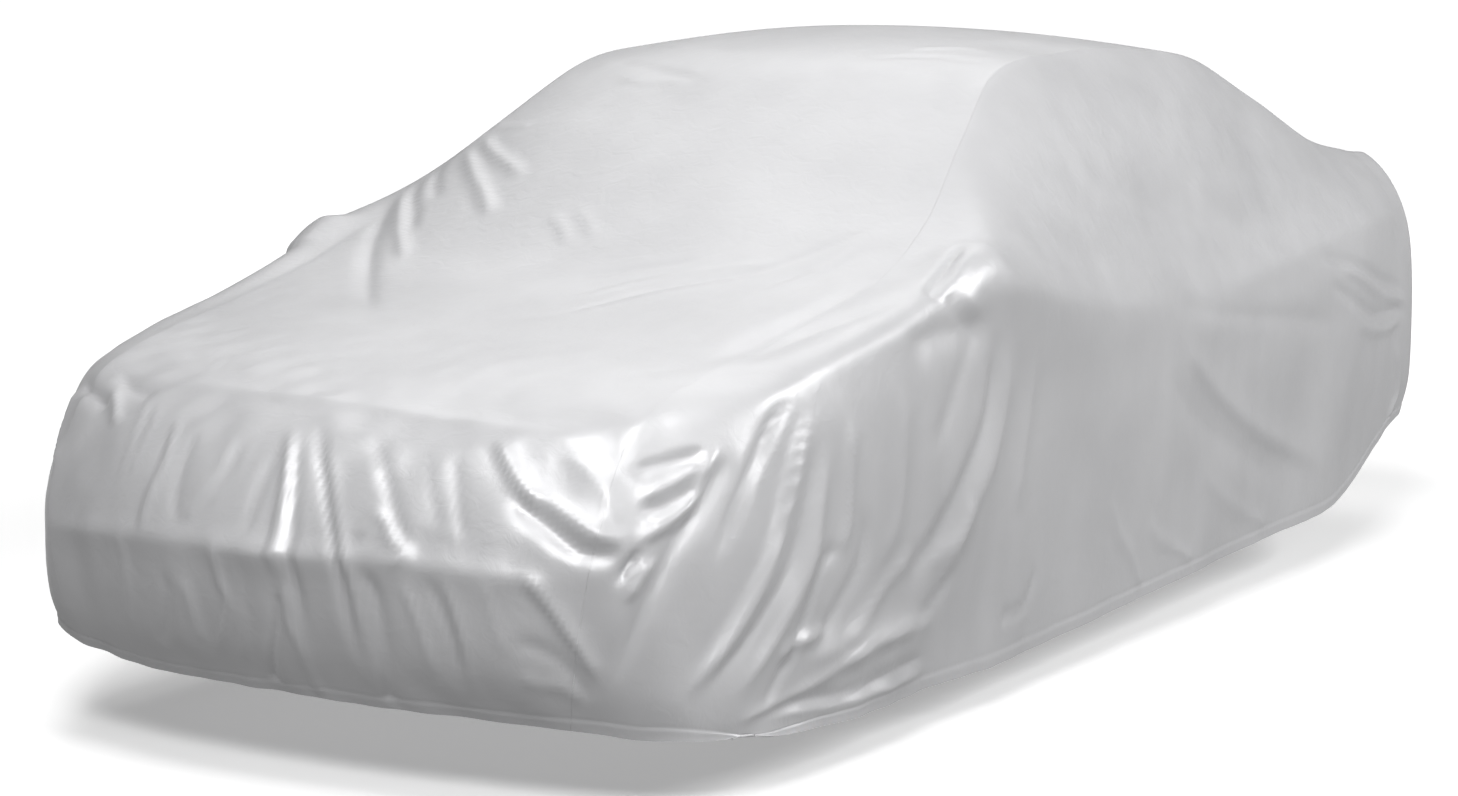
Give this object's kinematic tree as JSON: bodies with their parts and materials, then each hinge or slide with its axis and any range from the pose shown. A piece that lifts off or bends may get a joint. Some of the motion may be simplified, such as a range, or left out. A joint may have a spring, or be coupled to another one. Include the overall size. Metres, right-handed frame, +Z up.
{
  "type": "car cover",
  "caption": "Thin silver fitted cover for a sedan, in its draped shape over a car that is left out: hollow shell, open underneath, with pleats at the nose and a plain hem.",
  "frame": {"origin": "underside of the cover's roof, on its centre line, where it rests on the car's roof", "axes": "+Z up, -Y towards the front of the car, +X towards the car's left side, longest extent along Y"},
  "size_m": [1.8889, 4.6059, 1.3737],
  "materials": {
    "silver_cloth": "thin coated cloth, silver grey, soft satin sheen"
  },
  "bodies": {
    "root": {"top_panel": "silver_cloth", "left_side_panel": "silver_cloth", "right_side_panel": "silver_cloth"}
  },
  "joints": []
}
